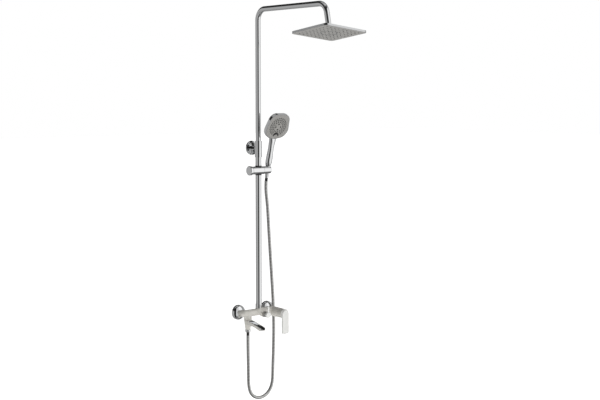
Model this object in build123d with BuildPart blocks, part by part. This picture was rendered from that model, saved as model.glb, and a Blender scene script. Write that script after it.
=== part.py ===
"""Rainfall shower column: a bath mixer on two wall inlets carries a telescopic riser with a bent arm and a
square rain head, a sliding holder with a hand shower, and the metal hose that feeds it.

Millimetres. X runs along the wall, -Y points into the room, Z is up, and the origin lies midway between the
two inlets on the finished wall.
"""

import os
from math import cos, pi, radians, sin, tan

from build123d import *

os.makedirs("parts", exist_ok=True)

# Clearances
fit_gap = 0.1  # pieces that are screwed or pushed together
run_gap = 0.15  # a moving piece in what guides it
seat_gap = 0.3  # a loose piece in its seat
ball_gap = 0.05  # the ball joint's spherical faces

# Wall inlets
inlet_spacing = 150
wall_to_axis = 49
inlet_thread_radius = 10.4
inlet_thread_length = 16
inlet_bore = 7
union_radius = 13.2
union_length = 9
inlet_seal = 2
neck_radius = 10.5
neck_flange = 3
neck_straight = 8
union_nut_sides = 6
union_nut_flats = 30
union_nut_back = 3
union_nut_lip = 3
escutcheon_radius = 31.5
escutcheon_wall = 7
escutcheon_dome = 15
escutcheon_sheet = 1.2
neck_cone_gap = 1

# Mixer body
bar_radius = 15
bar_bore = 8
housing_radius = 21
housing_front = 31
housing_back = 18
housing_back_radius = 12
housing_cone = 14
housing_spigot_radius = 18.4
housing_spigot_length = 10
pocket_radius = 17.5
pocket_depth = 38
spout_x = -58
spout_block_radius = 16.5
spout_joint = 26.5
spout_spigot_radius = 8
diverter_x = 17
diverter_drop = 10
diverter_boss_radius = 13
diverter_boss_front = 16
diverter_socket_radius = 9
riser_boss_radius = 13.4
riser_boss_top = 24

# Cartridge and lever
cartridge_drop = 6
cartridge_nut_thickness = 6
turret_radius = 11.3
turret_front = 44
turret_slot_depth = 12
stem_width = 10
stem_pivot = 41
stem_tang_radius = 6
stem_end = 85
pivot_radius = 2
cover_radius = 20.5
cover_front = 49
cover_back_wall = 43
cover_opening = 15
groove = 0.4
rocker_radius = 23.6
rocker_neck_radius = 18.8
cap_radius = 20
lever_back = 81
lever_thickness = 9
lever_width = 33
lever_drop = 85
lever_corner = 6
lever_edge = 1.5
grub_radius = 2
grub_length = 8

# Diverter
bush_radius = 12
bush_back = 9
bush_front = 30
spindle_radius = 4
spindle_back = 2
knob_neck_radius = 7
knob_neck_start = 31
knob_back = 41
knob_front = 48
knob_radius = 12
knob_edge = 2
pointer_width = 7
pointer_top = 36
pointer_inset = 1.5

# Spout
spout_cone_end = 68
spout_cone_end_radius = 11
spout_spigot_top = 14
spout_bore = 5
trough_width = 30
trough_wall = 2.5
trough_floor = 2.5
trough_reach = 103
trough_root = 1
trough_start = 17
trough_top_root = -28
trough_top_mid = (54, -36)
trough_top_tip = -48
trough_tip_height = 12
trough_under_root = -48
trough_under_mid = (54, -47.5)
tray_sheet = 0.8
outlet_radius = 9
outlet_length = 10
spout_groove_depth = 1.1
spout_groove_height = 2.2
spout_groove_drop = 3.3

# Riser
lower_radius = 12.5
upper_radius = 11
tube_wall = 1.2
base_seal = 2
base_flare = 2
base_nut_radius = 14.4
base_nut_bottom = 16
base_nut_top = 33
collar_radius = 15
collar_below = 38
collar_above = 30
lower_tube_above = 16
collar_screw_radius = 2.5
collar_bush_wall = 2
upper_bottom = 420
piston_radius = 11.15
piston_length = 24
piston_spigot = 15
piston_bore = 7
ring_groove_depth = 1.75
ring_section = 0.9
ring_pitch = 8
ring_steps = (1, 2)
seam = 0.4
nipple_length = 22
nipple_bore = 7

# Wall bracket
bracket_height = 694
bracket_base_radius = 22
bracket_base_depth = 7
bracket_flange_radius = 30
bracket_flange_step_radius = 23
bracket_flange_depth = 6
bracket_flange_step = 4
bracket_sheet = 1.2
bracket_arm_radius = 7.5
bracket_boss_radius = 10
bracket_boss_reach = 18
bracket_arm_seat = 5

# Bent arm and rain head
arm_height = 1268
arm_upright = 156
arm_reach = 433.5
bend_radius = 45
drop_lean = 12.5
drop_to_ball = 99
head_pitch = 6.8
head_roll = 6.2
stud_length = 15
stud_flange = 1.5
stud_spigot = 16
stud_neck_radius = 5.2
stud_bore = 3.6
ball_height = 19.6
ball_radius = 8.5
seat_wall = 1.5
seat_half_height = 4
swivel_radius = 12.3
swivel_top = 27.6
swivel_mouth_radius = 8.9
swivel_edge = 1.5
head_size = 210
head_corner = 15
head_depth = 8
head_sheet = 1.5
head_boss_radius = 17
head_boss = 1.6
head_inlet_radius = 6
face_thickness = 2.5
face_gap = 0.3
gasket_width = 4
nozzle_pitch = 20
nozzle_count = 9
nozzle_radius = 2.1
nozzle_tip_radius = 1.4
nozzle_proud = 1.6
mat_thickness = 1.2
centre_ring_inner = 31.5
centre_ring_width = 3
centre_ring_proud = 0.8

# Sliding holder
holder_below_bracket = 93
holder_height = bracket_height - holder_below_bracket
holder_radius = 17
holder_left = 35
holder_right = 20
slider_bush_wall = 0.9
slider_bush_height = 40
clamp_knob_radius = 20
clamp_knob_length = 15
clamp_knob_waist = 2
clamp_knob_edge = 1.5
clamp_stud_radius = 4
clamp_pad_radius = 5
clamp_pad_length = 6
pivot_pin_radius = 5
pivot_pin_start = 15
pivot_pin_end = 36.5
washer_thickness = 1
socket_x = 48
socket_right = 61
socket_root_radius = 16.6
socket_end_radius = 15.5
socket_edge = 2

# Hand shower
handset_lean = 12
cone_nut_top = 12
cone_nut_bottom = -34
cone_nut_top_radius = 9.5
cone_nut_bottom_radius = 7.9
handle_foot = 13.5
handle_foot_radius = 9.5
handle_sections = (
    (18, 11.5, 11, 0),
    (25, 13.5, 12, 0.5),
    (75, 13.5, 12, 3),
    (110, 14, 11, 5.5),
    (140, 18, 10, 9),
)
handle_bore = 4.5
handle_bore_end = 102
duct_foot = 100
duct_head = -20
duct_bore = 3.8
face_forward = 73.5
face_rise = 182
face_dip = 26.5
face_top_spread = 16.3
face_top_height = 23.7
face_top_round = 34.6
face_side_spread = 18.2
face_side_height = -13.6
face_side_round = 39.5
face_neck_height = -38
face_neck_round = 18
handset_depth = 18
handset_back_round = 7
handset_rim = 3
handset_plate = 2.5
handset_ledge = 5
handset_cavity = 10
handset_nozzle_rings = ((23, 14), (31, 20), (39, 26))
handset_nozzle_radius = 1.2
handset_nozzle_tip = 0.9
handset_nozzle_proud = 1.2
handset_mat = 1.2
centre_disc_radius = 16.5
centre_disc_proud = 0.8
centre_slot_count = 4
centre_slot_radius = 12.3
centre_slot_length = 9
centre_slot_width = 2.6
button_height = -39
button_radius = 13
button_bite = -8
button_proud = 2.5
button_keepout = 16.5

# Metal hose, with its route's corners from the spout's outlet round the loop and up to the hand shower
hose_radius = 7
hose_root_radius = 6.4
hose_bore = 4.5
hose_ribs = 200
hose_plain_end = 14
hose_straight_end = 40
hose_arc_share = 0.49
rib_rise = 0.2
rib_crest = 0.7
rib_fall = 0.9
lower_nut_radius = 11.5
lower_nut_length = 12
lower_nut_floor = 1.5
lower_nut_edge = 1

axis_y = -wall_to_axis
inlet_x = inlet_spacing / 2
cartridge_x = inlet_x


def side_of(frame):
    """Plane through the frame's axis, for outlines given as (radius, height along the axis)."""
    return Plane(origin=frame.origin, x_dir=frame.x_dir, z_dir=-frame.y_dir)


def turn(frame, *outline, mode=Mode.ADD):
    """Sweep an outline of (radius, height) corners about the frame's axis, in the part that is open."""
    with BuildSketch(side_of(frame)) as half:
        Polygon(*outline, align=None)
    revolve(half.sketch, axis=Axis(frame.origin, frame.z_dir), mode=mode)


def ring(frame, inner, outer, start, end, mode=Mode.ADD):
    """Plain ring, or a disc where the inner radius is nothing, between two heights of the frame's axis."""
    turn(frame, (inner, start), (outer, start), (outer, end), (inner, end), mode=mode)


def o_ring(frame, middle_radius, section_radius, height):
    """Round-section ring about the frame's axis."""
    with BuildSketch(side_of(frame)) as section:
        with Locations((middle_radius, height)):
            Circle(section_radius)
    revolve(section.sketch, axis=Axis(frame.origin, frame.z_dir))


def dome(frame, radius, wall, rise, mode=Mode.ADD):
    """Solid cap: a straight wall from the frame's plane, then half an ellipse closing over the axis."""
    with BuildSketch(side_of(frame)) as half:
        with BuildLine():
            Polyline((0, 0), (radius, 0), (radius, wall))
            EllipticalCenterArc((0, wall), radius, rise, start_angle=0, arc_size=90)
            Line((0, wall + rise), (0, 0))
        make_face()
    revolve(half.sketch, axis=Axis(frame.origin, frame.z_dir), mode=mode)


# Axes that the pieces are turned about: heights run out of the wall, up, or to the right
left_inlet = Plane(origin=(-inlet_x, 0, 0), x_dir=(1, 0, 0), z_dir=(0, -1, 0))
right_inlet = Plane(origin=(inlet_x, 0, 0), x_dir=(1, 0, 0), z_dir=(0, -1, 0))
bar = Plane(origin=(0, axis_y, 0), x_dir=(0, 0, 1), z_dir=(1, 0, 0))
cartridge = Plane(origin=(cartridge_x, axis_y, -cartridge_drop), x_dir=(1, 0, 0), z_dir=(0, -1, 0))
diverter = Plane(origin=(diverter_x, axis_y, -diverter_drop), x_dir=(1, 0, 0), z_dir=(0, -1, 0))
spout_axis = Plane(origin=(spout_x, axis_y, 0), x_dir=(1, 0, 0), z_dir=(0, 0, 1))
riser = Plane(origin=(0, axis_y, 0), x_dir=(1, 0, 0), z_dir=(0, 0, 1))
bracket = Plane(origin=(0, 0, bracket_height), x_dir=(1, 0, 0), z_dir=(0, -1, 0))
holder = Plane(origin=(0, axis_y, holder_height), x_dir=(0, 0, 1), z_dir=(1, 0, 0))

# Inlet unions, seals, nuts and escutcheons, one of each on each side
seal_back = union_length
neck_start = seal_back + inlet_seal
flange_front = neck_start + neck_flange
union_nut_step = flange_front + fit_gap
union_nut_front = union_nut_step + union_nut_lip
inlets = {"left": left_inlet, "right": right_inlet}
with BuildPart() as s_unions:
    for inlet in inlets.values():
        ring(inlet, inlet_bore, inlet_thread_radius, -inlet_thread_length, 0)
        ring(inlet, inlet_bore, union_radius, 0, union_length)
s_unions.part.label = "s_unions"
export_step(s_unions.part, "parts/s_unions.step")

with BuildPart() as inlet_seals:
    for inlet in inlets.values():
        ring(inlet, inlet_bore, union_radius - fit_gap, seal_back, neck_start)
inlet_seals.part.label = "inlet_seals"
export_step(inlet_seals.part, "parts/inlet_seals.step")

with BuildPart() as union_nuts:
    for inlet in inlets.values():
        with BuildSketch(inlet.offset(union_nut_back)):
            RegularPolygon(union_nut_flats / 2, union_nut_sides, major_radius=False)
        extrude(amount=union_nut_front - union_nut_back)
        ring(inlet, 0, union_radius + fit_gap, union_nut_back, union_nut_step, mode=Mode.SUBTRACT)
        ring(inlet, 0, neck_radius + fit_gap, union_nut_step, union_nut_front, mode=Mode.SUBTRACT)
union_nuts.part.label = "union_nuts"
export_step(union_nuts.part, "parts/union_nuts.step")

inner_radius = escutcheon_radius - escutcheon_sheet
inner_rise = escutcheon_dome - escutcheon_sheet
escutcheon_height = escutcheon_wall + escutcheon_dome
for side, inlet in inlets.items():
    with BuildPart() as escutcheon:
        dome(inlet, escutcheon_radius, escutcheon_wall, escutcheon_dome)
        dome(inlet, inner_radius, escutcheon_wall, inner_rise, mode=Mode.SUBTRACT)
        ring(inlet, 0, neck_radius + seat_gap, 0, escutcheon_height, mode=Mode.SUBTRACT)
    escutcheon.part.label = f"{side}_escutcheon"
    export_step(escutcheon.part, f"parts/{side}_escutcheon.step")

# Mixer body: a bar between two necks, with the spout block, diverter boss, riser boss and cartridge housing
neck_cone_start = escutcheon_height + neck_cone_gap
pocket_back = housing_front - pocket_depth
with BuildPart() as mixer_body:
    ring(bar, 0, bar_radius, -inlet_x, inlet_x)
    with Locations((-inlet_x, axis_y, 0)):
        Sphere(bar_radius)
    for inlet in inlets.values():
        ring(inlet, 0, union_radius - fit_gap, neck_start, flange_front)
        turn(
            inlet,
            (0, flange_front),
            (neck_radius, flange_front),
            (neck_radius, neck_cone_start),
            (bar_radius, wall_to_axis - neck_straight),
            (bar_radius, wall_to_axis),
            (0, wall_to_axis),
        )
    turn(
        cartridge,
        (0, -housing_back),
        (housing_back_radius, -housing_back),
        (housing_radius, housing_cone - housing_back),
        (housing_radius, housing_front),
        (housing_spigot_radius, housing_front),
        (housing_spigot_radius, housing_front + housing_spigot_length),
        (0, housing_front + housing_spigot_length),
    )
    ring(spout_axis, 0, spout_block_radius, -spout_joint, 0)
    ring(diverter, 0, diverter_boss_radius, 0, diverter_boss_front)
    ring(riser, 0, riser_boss_radius, 0, riser_boss_top)
    ring(bar, 0, bar_bore, -inlet_x, inlet_x - housing_radius, mode=Mode.SUBTRACT)
    for inlet in inlets.values():
        ring(inlet, 0, inlet_bore, neck_start, wall_to_axis, mode=Mode.SUBTRACT)
    ring(riser, 0, bar_bore, 0, riser_boss_top, mode=Mode.SUBTRACT)
    ring(spout_axis, 0, spout_spigot_radius + run_gap, -spout_joint, 0, mode=Mode.SUBTRACT)
    ring(diverter, 0, diverter_socket_radius, 0, diverter_boss_front, mode=Mode.SUBTRACT)
    ring(cartridge, 0, pocket_radius, pocket_back, housing_front + housing_spigot_length, mode=Mode.SUBTRACT)
mixer_body.part.label = "mixer_body"
export_step(mixer_body.part, "parts/mixer_body.step")

# Cartridge, the nut that holds it down, its turning turret, and the cover over them
cartridge_front = housing_front
turret_back = cartridge_front + fit_gap
with BuildPart() as cartridge_body:
    ring(cartridge, 0, pocket_radius - fit_gap, pocket_back + fit_gap, cartridge_front)
    ring(cartridge, 0, inlet_bore, pocket_back + fit_gap, pocket_back + pocket_depth / 2, mode=Mode.SUBTRACT)
cartridge_body.part.label = "cartridge_body"
export_step(cartridge_body.part, "parts/cartridge_body.step")

with BuildPart() as cartridge_nut:
    ring(
        cartridge,
        turret_radius + run_gap,
        pocket_radius - fit_gap,
        turret_back,
        turret_back + cartridge_nut_thickness,
    )
cartridge_nut.part.label = "cartridge_nut"
export_step(cartridge_nut.part, "parts/cartridge_nut.step")

pivot_plane = Plane(origin=cartridge.from_local_coords((0, 0, stem_pivot)), x_dir=(0, 0, 1), z_dir=(1, 0, 0))
turret_floor = turret_front - turret_slot_depth
with BuildPart() as cartridge_turret:
    ring(cartridge, 0, turret_radius, turret_back, turret_front)
    with BuildSketch(cartridge.offset(turret_floor)):
        Rectangle(stem_width + 2 * run_gap, 2 * turret_radius)
    extrude(amount=turret_slot_depth, mode=Mode.SUBTRACT)
    ring(pivot_plane, 0, pivot_radius + fit_gap, -turret_radius, turret_radius, mode=Mode.SUBTRACT)
cartridge_turret.part.label = "cartridge_turret"
export_step(cartridge_turret.part, "parts/cartridge_turret.step")

pin_half = (turret_radius**2 - pivot_radius**2) ** 0.5 - fit_gap
with BuildPart() as lever_pivot:
    ring(pivot_plane, 0, pivot_radius, -pin_half, pin_half)
lever_pivot.part.label = "lever_pivot"
export_step(lever_pivot.part, "parts/lever_pivot.step")

rocker_reach = 2 * rocker_radius
with BuildPart() as cartridge_cover:
    ring(cartridge, 0, rocker_neck_radius, cover_back_wall, stem_pivot + rocker_reach)
    with Locations(pivot_plane):
        Sphere(rocker_radius, mode=Mode.INTERSECT)
    ring(cartridge, housing_spigot_radius + fit_gap, cover_radius, housing_front + groove, cover_front)
    ring(cartridge, 0, cover_opening, cover_back_wall, stem_pivot + rocker_reach, mode=Mode.SUBTRACT)
cartridge_cover.part.label = "cartridge_cover"
export_step(cartridge_cover.part, "parts/cartridge_cover.step")

# Lever: the stem rocks on the turret's pin, and the flat lever's round cap rides over the cover's dome
with BuildPart() as lever_stem:
    ring(pivot_plane, 0, stem_tang_radius, -stem_width / 2, stem_width / 2)
    with BuildSketch(cartridge.offset(stem_pivot)):
        Rectangle(stem_width, stem_width)
    extrude(amount=stem_end - stem_pivot)
    ring(pivot_plane, 0, pivot_radius + run_gap, -stem_width / 2, stem_width / 2, mode=Mode.SUBTRACT)
lever_stem.part.label = "lever_stem"
export_step(lever_stem.part, "parts/lever_stem.step")

stem_hole = stem_width + 2 * fit_gap
cap_hollow = rocker_radius + seat_gap
cap_top = stem_pivot + cap_hollow
cap_back = stem_pivot + (cap_hollow**2 - cap_radius**2) ** 0.5
grub_height = (cap_top + lever_back) / 2
grub_plane = Plane(
    origin=cartridge.from_local_coords((0, -stem_hole / 2, grub_height)), x_dir=(1, 0, 0), z_dir=(0, 0, -1)
)
with BuildPart() as lever:
    with BuildSketch(cartridge.offset(lever_back)):
        Circle(lever_width / 2)
        with Locations((0, -lever_drop / 2)):
            Rectangle(lever_width, lever_drop)
    extrude(amount=lever_thickness)
    lower_corners = lever.edges().filter_by(Axis.Y).group_by(Axis.Z)[0]
    fillet(lower_corners, lever_corner)
    fillet(lever.faces().sort_by(Axis.Y)[0].edges(), lever_edge)
    fillet(lever.faces().sort_by(Axis.Y)[-1].edges(), lever_edge)
    ring(cartridge, 0, cap_radius, cap_back, lever_back + lever_edge)
    with Locations(pivot_plane):
        Sphere(cap_hollow, mode=Mode.SUBTRACT)
    with BuildSketch(cartridge.offset(cap_back)):
        Rectangle(stem_hole, stem_hole)
    extrude(amount=stem_end + fit_gap - cap_back, mode=Mode.SUBTRACT)
    ring(grub_plane, 0, grub_radius + fit_gap, 0, cap_radius, mode=Mode.SUBTRACT)
lever.part.label = "lever"
export_step(lever.part, "parts/lever.step")

with BuildPart() as lever_grub_screw:
    ring(grub_plane, 0, grub_radius, fit_gap, grub_length)
lever_grub_screw.part.label = "lever_grub_screw"
export_step(lever_grub_screw.part, "parts/lever_grub_screw.step")

# Diverter: a fixed bush, the spindle that turns in it, and the knob with its pointer
with BuildPart() as diverter_bush:
    ring(diverter, 0, diverter_socket_radius - fit_gap, bush_back, diverter_boss_front)
    ring(diverter, 0, bush_radius, diverter_boss_front, bush_front)
    ring(diverter, 0, spindle_radius + run_gap, 0, bush_front, mode=Mode.SUBTRACT)
diverter_bush.part.label = "diverter_bush"
export_step(diverter_bush.part, "parts/diverter_bush.step")

spindle_front = knob_front - 2 * knob_edge
with BuildPart() as diverter_spindle:
    ring(diverter, 0, spindle_radius, spindle_back, spindle_front)
diverter_spindle.part.label = "diverter_spindle"
export_step(diverter_spindle.part, "parts/diverter_spindle.step")

pointer_thickness = knob_front - knob_back - 2 * pointer_inset
with BuildPart() as diverter_knob:
    ring(diverter, 0, knob_radius, knob_back, knob_front)
    fillet(diverter_knob.faces().sort_by(Axis.Y)[0].edges(), knob_edge)
    ring(diverter, 0, knob_neck_radius, knob_neck_start, knob_back)
    with BuildSketch(diverter.offset(knob_back + pointer_inset)):
        with Locations((0, pointer_top / 2)):
            SlotOverall(pointer_top, pointer_width, rotation=90)
    extrude(amount=pointer_thickness)
    ring(diverter, 0, spindle_radius + fit_gap, knob_neck_start, spindle_front + fit_gap, mode=Mode.SUBTRACT)
diverter_knob.part.label = "diverter_knob"
export_step(diverter_knob.part, "parts/diverter_knob.step")

# Spout: a swivelling block that narrows to the hose outlet and carries an open trough with a bright tray
spout_side = Plane(origin=(spout_x, axis_y, 0), x_dir=(0, -1, 0), z_dir=(-1, 0, 0))
spout_top = -spout_joint - seat_gap
outlet_end = -spout_cone_end - outlet_length
spout_groove_middle = -spout_spigot_top - spout_groove_drop
trough_tip_low = trough_top_tip - trough_tip_height
channel_width = trough_width - 2 * trough_wall


def trough_face(lift, start):
    """Side view of the trough, with its underside raised by the lift and its back end at the start."""
    with BuildSketch(spout_side) as view:
        with BuildLine():
            top = ThreePointArc((0, trough_top_root), trough_top_mid, (trough_reach, trough_top_tip))
            Line((trough_reach, trough_top_tip), (trough_reach, trough_tip_low + lift))
            ThreePointArc(
                (trough_reach, trough_tip_low + lift),
                (trough_under_mid[0], trough_under_mid[1] + lift),
                (0, trough_under_root + lift),
            )
            Line((0, trough_under_root + lift), top @ 0)
        make_face()
        with Locations((0, -spout_cone_end / 2)):
            Rectangle(2 * start, spout_cone_end, mode=Mode.SUBTRACT)
    return view.sketch


with BuildPart() as spout:
    extrude(trough_face(0, trough_root), amount=trough_width / 2, both=True)
    extrude(trough_face(trough_floor, trough_start), amount=channel_width / 2, both=True, mode=Mode.SUBTRACT)
    turn(
        spout_axis,
        (0, spout_top),
        (spout_block_radius, spout_top),
        (spout_cone_end_radius, -spout_cone_end),
        (outlet_radius, -spout_cone_end),
        (outlet_radius, outlet_end),
        (0, outlet_end),
    )
    ring(spout_axis, 0, spout_spigot_radius, spout_top, -spout_spigot_top)
    ring(spout_axis, 0, spout_bore, outlet_end, -spout_spigot_top, mode=Mode.SUBTRACT)
    ring(
        spout_axis,
        spout_spigot_radius - spout_groove_depth,
        spout_spigot_radius,
        spout_groove_middle - spout_groove_height / 2,
        spout_groove_middle + spout_groove_height / 2,
        mode=Mode.SUBTRACT,
    )
spout.part.label = "spout"
export_step(spout.part, "parts/spout.step")

tray_lift = trough_floor + fit_gap
tray_start = trough_start + fit_gap
tray_half = channel_width / 2 - fit_gap
with BuildPart() as spout_tray:
    extrude(trough_face(tray_lift, tray_start), amount=tray_half, both=True)
    extrude(
        trough_face(tray_lift + tray_sheet, tray_start + tray_sheet),
        amount=tray_half - tray_sheet,
        both=True,
        mode=Mode.SUBTRACT,
    )
spout_tray.part.label = "spout_tray"
export_step(spout_tray.part, "parts/spout_tray.step")

with BuildPart() as spout_ring:
    o_ring(
        spout_axis,
        spout_spigot_radius - spout_groove_depth / 2,
        (spout_groove_depth - fit_gap) / 2,
        spout_groove_middle,
    )
spout_ring.part.label = "spout_ring"
export_step(spout_ring.part, "parts/spout_ring.step")

lower_nut_top = -spout_cone_end - fit_gap
lower_nut_bottom = lower_nut_top - lower_nut_length
with BuildPart() as hose_lower_nut:
    ring(spout_axis, hose_bore, lower_nut_radius, lower_nut_bottom, lower_nut_top)
    chamfer(hose_lower_nut.edges().filter_by(GeomType.CIRCLE).sort_by(SortBy.RADIUS)[-2:], lower_nut_edge)
    ring(
        spout_axis,
        0,
        outlet_radius + fit_gap,
        lower_nut_bottom + lower_nut_floor,
        lower_nut_top,
        mode=Mode.SUBTRACT,
    )
hose_lower_nut.part.label = "hose_lower_nut"
export_step(hose_lower_nut.part, "parts/hose_lower_nut.step")

# Riser: base seal and nut, the lower tube with its flare, and the bracket collar at its top
lower_bottom = riser_boss_top + base_seal
lower_top = bracket_height + lower_tube_above
lower_inner = lower_radius - tube_wall
with BuildPart() as base_washer:
    ring(riser, bar_bore, riser_boss_radius - fit_gap, riser_boss_top, lower_bottom)
base_washer.part.label = "base_seal"
export_step(base_washer.part, "parts/base_seal.step")

with BuildPart() as lower_tube:
    ring(riser, lower_inner, riser_boss_radius - fit_gap, lower_bottom, lower_bottom + base_flare)
    ring(riser, lower_inner, lower_radius, lower_bottom, lower_top)
lower_tube.part.label = "lower_tube"
export_step(lower_tube.part, "parts/lower_tube.step")

base_nut_step = lower_bottom + base_flare + fit_gap
with BuildPart() as base_nut:
    ring(riser, riser_boss_radius + fit_gap, base_nut_radius, base_nut_bottom, base_nut_top)
    ring(riser, lower_radius + fit_gap, base_nut_radius, base_nut_step, base_nut_top)
base_nut.part.label = "base_nut"
export_step(base_nut.part, "parts/base_nut.step")

collar_bottom = bracket_height - collar_below
collar_top = bracket_height + collar_above
collar_bore = lower_radius + fit_gap
collar_bush_bottom = lower_top + fit_gap
collar_bush_outer = upper_radius + run_gap + collar_bush_wall
arm_seat = wall_to_axis - bracket_boss_reach
screw_plane = Plane(origin=(0, axis_y, (lower_top + collar_top) / 2), x_dir=(0, 0, 1), z_dir=(1, 0, 0))
with BuildPart() as bracket_collar:
    ring(riser, 0, collar_radius, collar_bottom, collar_top)
    ring(bracket, 0, bracket_boss_radius, arm_seat, wall_to_axis)
    ring(riser, 0, collar_bore, collar_bottom, collar_bush_bottom, mode=Mode.SUBTRACT)
    ring(riser, 0, collar_bush_outer + fit_gap, collar_bush_bottom, collar_top, mode=Mode.SUBTRACT)
    ring(bracket, 0, bracket_arm_radius + fit_gap, arm_seat, arm_seat + bracket_arm_seat, mode=Mode.SUBTRACT)
    ring(screw_plane, 0, collar_screw_radius + fit_gap, 0, collar_radius, mode=Mode.SUBTRACT)
bracket_collar.part.label = "bracket_collar"
export_step(bracket_collar.part, "parts/bracket_collar.step")

with BuildPart() as collar_bush:
    ring(riser, upper_radius + run_gap, collar_bush_outer, collar_bush_bottom, collar_top - fit_gap)
    ring(screw_plane, 0, collar_screw_radius + fit_gap, 0, collar_radius, mode=Mode.SUBTRACT)
collar_bush.part.label = "collar_bush"
export_step(collar_bush.part, "parts/collar_bush.step")

with BuildPart() as collar_screw:
    ring(screw_plane, 0, collar_screw_radius, upper_radius + run_gap, collar_radius)
collar_screw.part.label = "collar_screw"
export_step(collar_screw.part, "parts/collar_screw.step")

# Wall bracket: a base on the wall, the stepped flange over it, and the arm out to the collar
flange_total = bracket_flange_depth + bracket_flange_step
with BuildPart() as bracket_base:
    ring(bracket, 0, bracket_base_radius, 0, bracket_base_depth)
bracket_base.part.label = "bracket_base"
export_step(bracket_base.part, "parts/bracket_base.step")

with BuildPart() as bracket_flange:
    ring(bracket, 0, bracket_flange_radius, 0, bracket_flange_depth)
    ring(bracket, 0, bracket_flange_step_radius, bracket_flange_depth, flange_total)
    ring(
        bracket,
        0,
        bracket_flange_radius - bracket_sheet,
        0,
        bracket_flange_depth - bracket_sheet,
        mode=Mode.SUBTRACT,
    )
    ring(bracket, 0, bracket_base_radius + fit_gap, 0, bracket_base_depth + fit_gap, mode=Mode.SUBTRACT)
    ring(bracket, 0, bracket_arm_radius + fit_gap, 0, flange_total, mode=Mode.SUBTRACT)
bracket_flange.part.label = "bracket_flange"
export_step(bracket_flange.part, "parts/bracket_flange.step")

with BuildPart() as bracket_arm:
    ring(bracket, 0, bracket_arm_radius, bracket_base_depth, arm_seat + bracket_arm_seat)
bracket_arm.part.label = "bracket_arm"
export_step(bracket_arm.part, "parts/bracket_arm.step")

# Telescope: the upper tube with its sealed piston below and the arm's nipple above
upper_top = arm_height - arm_upright
upper_inner = upper_radius - tube_wall
spigot_radius = upper_inner - fit_gap
groove_radius = piston_radius - ring_groove_depth
piston_bottom = upper_bottom - piston_length
piston_ring_heights = [piston_bottom + ring_pitch * step for step in ring_steps]
with BuildPart() as telescope_piston:
    ring(riser, piston_bore, piston_radius, piston_bottom, upper_bottom)
    ring(riser, piston_bore, spigot_radius, upper_bottom, upper_bottom + piston_spigot)
    for height in piston_ring_heights:
        ring(
            riser,
            groove_radius,
            piston_radius,
            height - ring_section - fit_gap,
            height + ring_section + fit_gap,
            mode=Mode.SUBTRACT,
        )
telescope_piston.part.label = "telescope_piston"
export_step(telescope_piston.part, "parts/telescope_piston.step")

with BuildPart() as piston_rings:
    for height in piston_ring_heights:
        o_ring(riser, lower_inner - ball_gap - ring_section, ring_section, height)
piston_rings.part.label = "piston_rings"
export_step(piston_rings.part, "parts/piston_rings.step")

with BuildPart() as upper_tube:
    ring(riser, upper_inner, upper_radius, upper_bottom, upper_top)
upper_tube.part.label = "upper_tube"
export_step(upper_tube.part, "parts/upper_tube.step")

nipple_top = upper_top + nipple_length
nipple_groove = spigot_radius - ring_groove_depth
nipple_ring_heights = [upper_top + ring_pitch * step for step in ring_steps]
with BuildPart() as arm_nipple:
    ring(riser, nipple_bore, spigot_radius, upper_top - nipple_length, nipple_top)
    for height in nipple_ring_heights:
        ring(
            riser,
            nipple_groove,
            spigot_radius,
            height - ring_section - fit_gap,
            height + ring_section + fit_gap,
            mode=Mode.SUBTRACT,
        )
arm_nipple.part.label = "arm_nipple"
export_step(arm_nipple.part, "parts/arm_nipple.step")

with BuildPart() as nipple_rings:
    for height in nipple_ring_heights:
        o_ring(riser, upper_inner - ball_gap - ring_section, ring_section, height)
nipple_rings.part.label = "nipple_rings"
export_step(nipple_rings.part, "parts/nipple_rings.step")

# Bent arm: up from the seam, out over the room, and down with a forward lean to the ball stud
lean = radians(drop_lean)
drop = Vector(0, -sin(lean), -cos(lean))
arm_corner = Vector(0, axis_y - arm_reach, arm_height)
arm_start = Vector(0, axis_y, upper_top + seam)
ball_centre = arm_corner + drop * drop_to_ball
arm_end = ball_centre - drop * stud_length
stud = Plane(origin=ball_centre, x_dir=(1, 0, 0), z_dir=-drop)
with BuildPart() as bent_arm:
    with BuildLine():
        FilletPolyline(arm_start, (0, axis_y, arm_height), arm_corner, arm_end, radius=bend_radius)
    with BuildSketch(Plane(origin=arm_start)):
        Circle(upper_radius)
        Circle(upper_inner, mode=Mode.SUBTRACT)
    sweep()
bent_arm.part.label = "bent_arm"
export_step(bent_arm.part, "parts/bent_arm.step")

stud_top = stud_length + stud_spigot
with BuildPart() as ball_stud:
    turn(
        stud,
        (0, 0),
        (stud_neck_radius, 0),
        (stud_neck_radius, stud_length - stud_flange),
        (upper_radius, stud_length - stud_flange),
        (upper_radius, stud_length),
        (spigot_radius, stud_length),
        (spigot_radius, stud_top),
        (0, stud_top),
    )
    with Locations(stud):
        Sphere(ball_radius)
    ring(stud, 0, stud_bore, -ball_radius, stud_top, mode=Mode.SUBTRACT)
ball_stud.part.label = "ball_stud"
export_step(ball_stud.part, "parts/ball_stud.step")

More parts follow.
